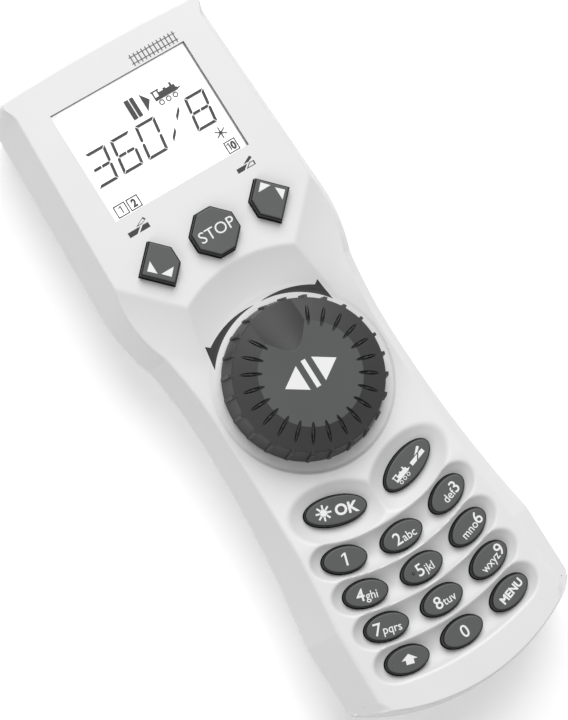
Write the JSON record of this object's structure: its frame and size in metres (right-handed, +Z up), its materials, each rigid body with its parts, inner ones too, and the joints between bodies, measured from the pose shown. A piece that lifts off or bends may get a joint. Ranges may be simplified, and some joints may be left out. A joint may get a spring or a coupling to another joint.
{
  "type": "train set controller",
  "caption": "Hand-held model railway controller with a display, large stop and direction keys, a ribbed speed dial and an elliptical keypad in a waisted two-part case.",
  "frame": {"origin": "middle of the case's footprint on the surface that the case rests on", "axes": "+Z up out of the key face, +Y along the case towards the display end, +X to the right of a user who reads the display"},
  "size_m": [0.071, 0.1962, 0.034],
  "materials": {
    "case_plastic": "fine moulded matt texture, off-white",
    "window_clear": "clear acrylic pane",
    "lcd_glass": "backlit display glass with a white polariser",
    "frame_plastic": "black moulding",
    "guide_acrylic": "moulded light guide",
    "lamp_lens": "moulded lens",
    "silicone": "silicone rubber",
    "board_laminate": "green solder resist",
    "plated_metal": "plated steel",
    "brass_shaft": "turned brass",
    "black_plastic": "black moulding",
    "screw_steel": "zinc-plated steel",
    "gold_contact": "gold-plated spring wire",
    "label_film": "blank silver film",
    "key_plastic": "dark grey moulded cap",
    "dial_plastic": "dark grey soft-touch moulding",
    "cap_plastic": "mid-grey insert"
  },
  "bodies": {
    "case": {"front_shell": "case_plastic", "rear_shell": "case_plastic", "display_window": "window_clear", "lcd_panel": "lcd_glass", "lcd_frame": "frame_plastic", "backlight_guide": "guide_acrylic", "backlight_lamps": "lamp_lens", "lcd_connector": "silicone", "main_board": "board_laminate", "potentiometer": "plated_metal", "potentiometer_nut": "plated_metal", "keypad_mat": "silicone", "stop_mat": "silicone", "processor": "black_plastic", "bus_driver": "black_plastic", "crystal": "screw_steel", "capacitors": "screw_steel", "cable_socket": "black_plastic", "socket_contacts": "gold_contact", "case_screws": "screw_steel", "board_screws": "screw_steel", "type_label": "label_film"},
    "dial": {"dial_knob": "dial_plastic", "dial_cap": "cap_plastic", "dial_shaft": "brass_shaft"},
    "key_0_body": {"key_0": "key_plastic"},
    "key_1_body": {"key_1": "key_plastic"},
    "key_2_body": {"key_2": "key_plastic"},
    "key_3_body": {"key_3": "key_plastic"},
    "key_4_body": {"key_4": "key_plastic"},
    "key_5_body": {"key_5": "key_plastic"},
    "key_6_body": {"key_6": "key_plastic"},
    "key_7_body": {"key_7": "key_plastic"},
    "key_8_body": {"key_8": "key_plastic"},
    "key_9_body": {"key_9": "key_plastic"},
    "key_menu_body": {"key_menu": "key_plastic"},
    "key_shift_body": {"key_shift": "key_plastic"},
    "key_ok_body": {"key_ok": "key_plastic"},
    "key_loco_body": {"key_loco": "key_plastic"},
    "stop_key_body": {"stop_key": "key_plastic"},
    "left_key_body": {"left_key": "key_plastic"},
    "right_key_body": {"right_key": "key_plastic"}
  },
  "joints": [
    {"name": "dial_turn", "type": "hinge", "parent": "case", "child": "dial", "pos_m": [0, -0.00575, 0.0239], "axis": [0, 0, 1], "range_deg": [-135, 135]},
    {"name": "key_0_press", "type": "slide", "parent": "case", "child": "key_0_body", "axis": [0, 0, -1], "range_m": [0, 0.001], "stiffness_N_per_m": 1500},
    {"name": "key_1_press", "type": "slide", "parent": "case", "child": "key_1_body", "axis": [0, 0, -1], "range_m": [0, 0.001], "stiffness_N_per_m": 1500},
    {"name": "key_2_press", "type": "slide", "parent": "case", "child": "key_2_body", "axis": [0, 0, -1], "range_m": [0, 0.001], "stiffness_N_per_m": 1500},
    {"name": "key_3_press", "type": "slide", "parent": "case", "child": "key_3_body", "axis": [0, 0, -1], "range_m": [0, 0.001], "stiffness_N_per_m": 1500},
    {"name": "key_4_press", "type": "slide", "parent": "case", "child": "key_4_body", "axis": [0, 0, -1], "range_m": [0, 0.001], "stiffness_N_per_m": 1500},
    {"name": "key_5_press", "type": "slide", "parent": "case", "child": "key_5_body", "axis": [0, 0, -1], "range_m": [0, 0.001], "stiffness_N_per_m": 1500},
    {"name": "key_6_press", "type": "slide", "parent": "case", "child": "key_6_body", "axis": [0, 0, -1], "range_m": [0, 0.001], "stiffness_N_per_m": 1500},
    {"name": "key_7_press", "type": "slide", "parent": "case", "child": "key_7_body", "axis": [0, 0, -1], "range_m": [0, 0.001], "stiffness_N_per_m": 1500},
    {"name": "key_8_press", "type": "slide", "parent": "case", "child": "key_8_body", "axis": [0, 0, -1], "range_m": [0, 0.001], "stiffness_N_per_m": 1500},
    {"name": "key_9_press", "type": "slide", "parent": "case", "child": "key_9_body", "axis": [0, 0, -1], "range_m": [0, 0.001], "stiffness_N_per_m": 1500},
    {"name": "key_menu_press", "type": "slide", "parent": "case", "child": "key_menu_body", "axis": [0, 0, -1], "range_m": [0, 0.001], "stiffness_N_per_m": 1500},
    {"name": "key_shift_press", "type": "slide", "parent": "case", "child": "key_shift_body", "axis": [0, 0, -1], "range_m": [0, 0.001], "stiffness_N_per_m": 1500},
    {"name": "key_ok_press", "type": "slide", "parent": "case", "child": "key_ok_body", "axis": [0, 0, -1], "range_m": [0, 0.001], "stiffness_N_per_m": 1500},
    {"name": "key_loco_press", "type": "slide", "parent": "case", "child": "key_loco_body", "axis": [0, 0, -1], "range_m": [0, 0.001], "stiffness_N_per_m": 1500},
    {"name": "stop_key_press", "type": "slide", "parent": "case", "child": "stop_key_body", "axis": [0, 0, -1], "range_m": [0, 0.001], "stiffness_N_per_m": 1500},
    {"name": "left_key_press", "type": "slide", "parent": "case", "child": "left_key_body", "axis": [0, 0, -1], "range_m": [0, 0.001], "stiffness_N_per_m": 1500},
    {"name": "right_key_press", "type": "slide", "parent": "case", "child": "right_key_body", "axis": [0, 0, -1], "range_m": [0, 0.001], "stiffness_N_per_m": 1500}
  ]
}
